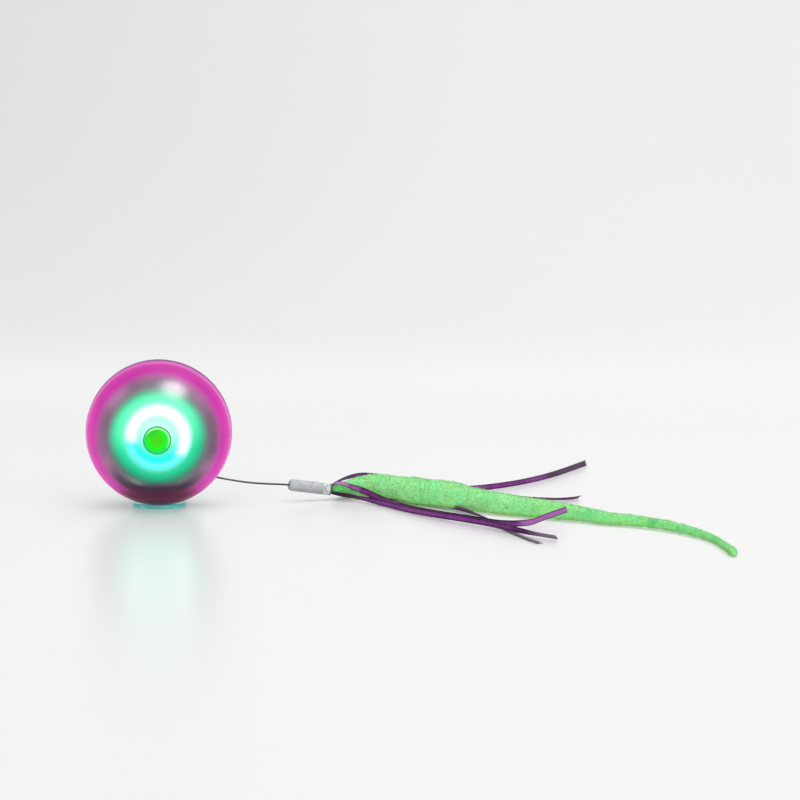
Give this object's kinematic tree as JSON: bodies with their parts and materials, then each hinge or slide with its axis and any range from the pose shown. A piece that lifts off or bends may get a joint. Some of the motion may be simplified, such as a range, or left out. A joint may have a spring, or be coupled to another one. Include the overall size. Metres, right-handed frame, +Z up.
{
  "type": "rolling light-up cat ball with plush tail",
  "caption": "Self-rolling light-up cat ball on a clear foot ring: two frosted domes turn on a fixed core that drags a wire with a plush worm and satin ribbons.",
  "frame": {"origin": "on the floor under the middle of the ball, which is the middle of the foot ring's underside", "axes": "+Z up, -Y towards the front with the power button, +X towards the side that the tail leaves; the domes turn about the level axle along Y"},
  "size_m": [0.311, 0.3399, 0.0765],
  "materials": {
    "clear_teal_plastic": "clear moulded plastic, lightly tinted",
    "magenta_plastic": "frosted translucent moulding",
    "white_plastic": "moulded",
    "plum_plastic": "moulded",
    "pale_plastic": "moulded, diffusing",
    "opal_plastic": "opal light guide",
    "white_board": "solder mask",
    "green_board": "solder mask",
    "grey_plastic": "moulded gear, fine grain",
    "gear_plastic": "moulded gear",
    "green_trim_plastic": "moulded, satin",
    "green_button_plastic": "moulded, satin",
    "green_silicone": "matt silicone",
    "black_plastic": "moulded",
    "steel": "plain",
    "motor_steel": "drawn can",
    "socket_steel": "plated shell",
    "brass": "plain",
    "battery_wrap": "shrink wrap",
    "black_wire_coat": "coated spring wire",
    "light_grey_plastic": "moulded sleeve",
    "green_plush": "short plush pile",
    "purple_satin": "satin ribbon"
  },
  "bodies": {
    "foot": {"foot_ring": "clear_teal_plastic"},
    "core": {"core_front_half": "white_plastic", "core_rear_half": "white_plastic", "core_screws": "steel", "seam_ring": "plum_plastic", "tail_pin": "steel", "front_light_plate": "pale_plastic", "rear_light_plate": "pale_plastic", "front_led_board": "white_board", "rear_led_board": "white_board", "front_light_ring": "opal_plastic", "rear_light_ring": "opal_plastic", "front_motor": "motor_steel", "rear_motor": "motor_steel", "front_gearbox": "brass", "rear_gearbox": "brass", "front_bezel": "green_trim_plastic", "rear_bezel": "green_trim_plastic", "button_spring": "steel", "power_switch": "black_plastic", "charging_socket": "socket_steel", "battery": "battery_wrap", "main_board": "green_board"},
    "front_wheel": {"front_dome": "magenta_plastic", "front_ring_gear": "grey_plastic"},
    "rear_wheel": {"rear_dome": "magenta_plastic", "rear_ring_gear": "grey_plastic"},
    "front_drive": {"front_output_shaft": "steel", "front_pinion": "gear_plastic"},
    "rear_drive": {"rear_output_shaft": "steel", "rear_pinion": "gear_plastic"},
    "button": {"power_button": "green_button_plastic"},
    "plug": {"port_plug": "green_silicone"},
    "tail": {"tail_eye": "steel", "tail_wire": "black_wire_coat", "ferrule": "light_grey_plastic", "plush_worm": "green_plush", "rear_ribbon": "purple_satin", "flat_ribbon": "purple_satin", "front_ribbon": "purple_satin", "lower_ribbon": "purple_satin", "under_ribbon": "purple_satin"}
  },
  "joints": [
    {"name": "core_lift", "type": "slide", "parent": "foot", "child": "core", "axis": [0, 0, 1], "range_m": [0, 0.04]},
    {"name": "front_wheel_spin", "type": "hinge", "parent": "core", "child": "front_wheel", "pos_m": [0, 0, 0.0385], "axis": [0, 1, 0], "continuous": true},
    {"name": "rear_wheel_spin", "type": "hinge", "parent": "core", "child": "rear_wheel", "pos_m": [0, 0, 0.0385], "axis": [0, 1, 0], "continuous": true},
    {"name": "front_pinion_spin", "type": "hinge", "parent": "core", "child": "front_drive", "pos_m": [-0.00947, 0, 0.0182], "axis": [0, 1, 0], "continuous": true},
    {"name": "rear_pinion_spin", "type": "hinge", "parent": "core", "child": "rear_drive", "pos_m": [0.00947, 0, 0.0182], "axis": [0, 1, 0], "continuous": true},
    {"name": "button_press", "type": "slide", "parent": "core", "child": "button", "axis": [0, 1, 0], "range_m": [0, 0.0008], "stiffness_N_per_m": 800, "springref_m": -0.001, "deforming": ["button_spring"]},
    {"name": "port_plug_pull", "type": "slide", "parent": "core", "child": "plug", "axis": [0, 1, 0], "range_m": [0, 0.006]},
    {"name": "tail_lift", "type": "hinge", "parent": "core", "child": "tail", "pos_m": [0.02251, 0, 0.01646], "axis": [0, -1, 0], "range_deg": [0, 60]}
  ],
  "couplings": [
    {"joint": "front_pinion_spin", "follows": "front_wheel_spin", "ratio": 5.6667},
    {"joint": "rear_pinion_spin", "follows": "rear_wheel_spin", "ratio": 5.6667}
  ]
}
